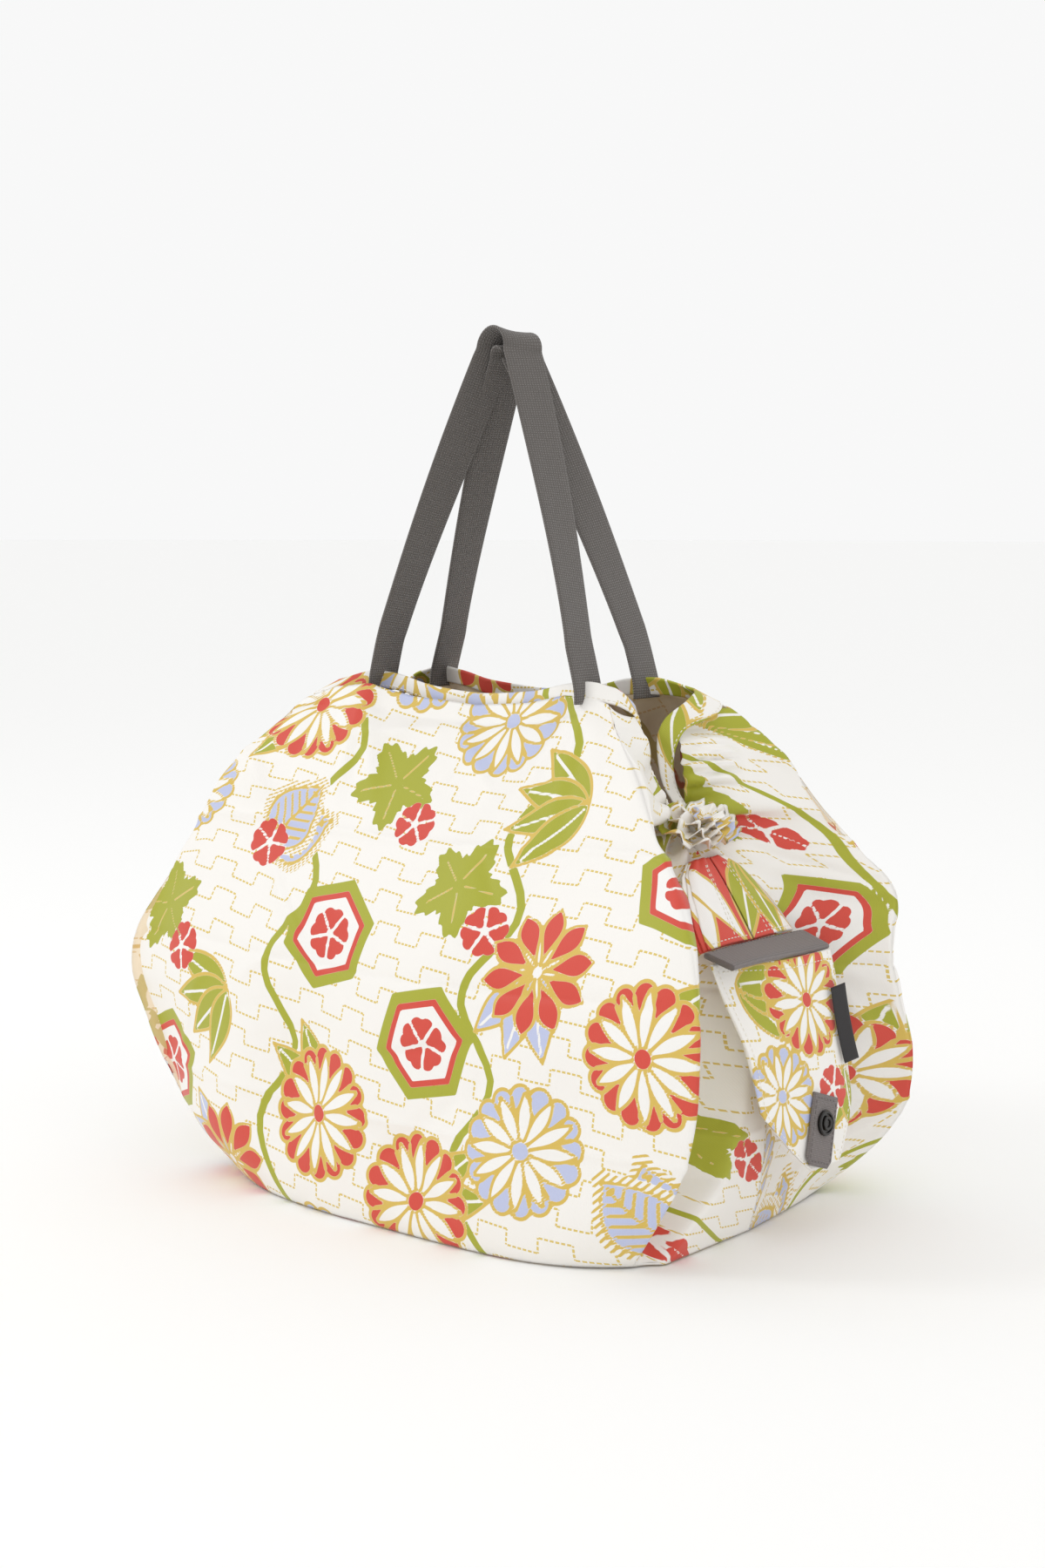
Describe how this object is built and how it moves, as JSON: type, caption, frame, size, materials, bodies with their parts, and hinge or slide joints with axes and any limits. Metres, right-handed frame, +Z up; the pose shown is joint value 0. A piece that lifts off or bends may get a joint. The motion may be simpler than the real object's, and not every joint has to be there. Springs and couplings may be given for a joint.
{
  "type": "foldable tote bag",
  "caption": "Soft thin-cloth tote with two webbing handles, gathered ends with stitched pleat stacks and tapes, and a closing strap with a press snap.",
  "frame": {"origin": "centre of the outline on the floor that the open bag stands on", "axes": "+Z up, X along the mouth with +X at the end that carries the closing strap, -Y out of the front face"},
  "size_m": [0.4384, 0.2554, 0.5198],
  "materials": {
    "printed_cloth": "thin woven polyester with a slight sheen, multicolour print",
    "webbing": "ribbed polyester webbing",
    "grosgrain_tape": "fine ribbed binding tape",
    "snap_plastic": "moulded plastic, satin",
    "woven_label": "dense woven satin"
  },
  "bodies": {
    "bag": {"front_panel": "printed_cloth", "back_panel": "printed_cloth", "bottom_panel": "printed_cloth", "right_end_front": "printed_cloth", "right_end_back": "printed_cloth", "left_end_front": "printed_cloth", "left_end_back": "printed_cloth", "front_hem": "printed_cloth", "back_hem": "printed_cloth", "right_gather": "printed_cloth", "left_gather": "printed_cloth", "front_right_foot": "webbing", "front_left_foot": "webbing", "back_right_foot": "webbing", "back_left_foot": "webbing"},
    "front_handle_loop": {"front_handle": "webbing"},
    "back_handle_loop": {"back_handle": "webbing"},
    "right_pleat_stack": {"right_stack_front": "printed_cloth", "right_stack_back": "printed_cloth", "right_tape": "grosgrain_tape"},
    "left_pleat_stack": {"left_stack_front": "printed_cloth", "left_stack_back": "printed_cloth", "left_tape": "grosgrain_tape"},
    "strap": {"closing_strap": "printed_cloth", "strap_tip": "printed_cloth", "snap_tab": "grosgrain_tape", "snap_rivet": "snap_plastic", "snap_cap": "snap_plastic", "snap_socket": "snap_plastic", "snap_stud": "snap_plastic", "side_label": "woven_label"}
  },
  "joints": [
    {"name": "front_handle_swing", "type": "hinge", "parent": "bag", "child": "front_handle_loop", "pos_m": [0, -0.0282, 0.33], "axis": [1, 0, 0], "range_deg": [0, 110]},
    {"name": "back_handle_swing", "type": "hinge", "parent": "bag", "child": "back_handle_loop", "pos_m": [0, 0.0282, 0.33], "axis": [-1, 0, 0], "range_deg": [0, 110]},
    {"name": "right_stack_lift", "type": "hinge", "parent": "bag", "child": "right_pleat_stack", "pos_m": [0.147, 0, 0.214], "axis": [0, -1, 0], "range_deg": [0, 60]},
    {"name": "left_stack_lift", "type": "hinge", "parent": "bag", "child": "left_pleat_stack", "pos_m": [-0.147, 0, 0.214], "axis": [0, 1, 0], "range_deg": [0, 60]},
    {"name": "strap_swing", "type": "hinge", "parent": "right_pleat_stack", "child": "strap", "pos_m": [0.199, 0, 0.1597], "axis": [0, -1, 0], "range_deg": [0, 140]}
  ]
}
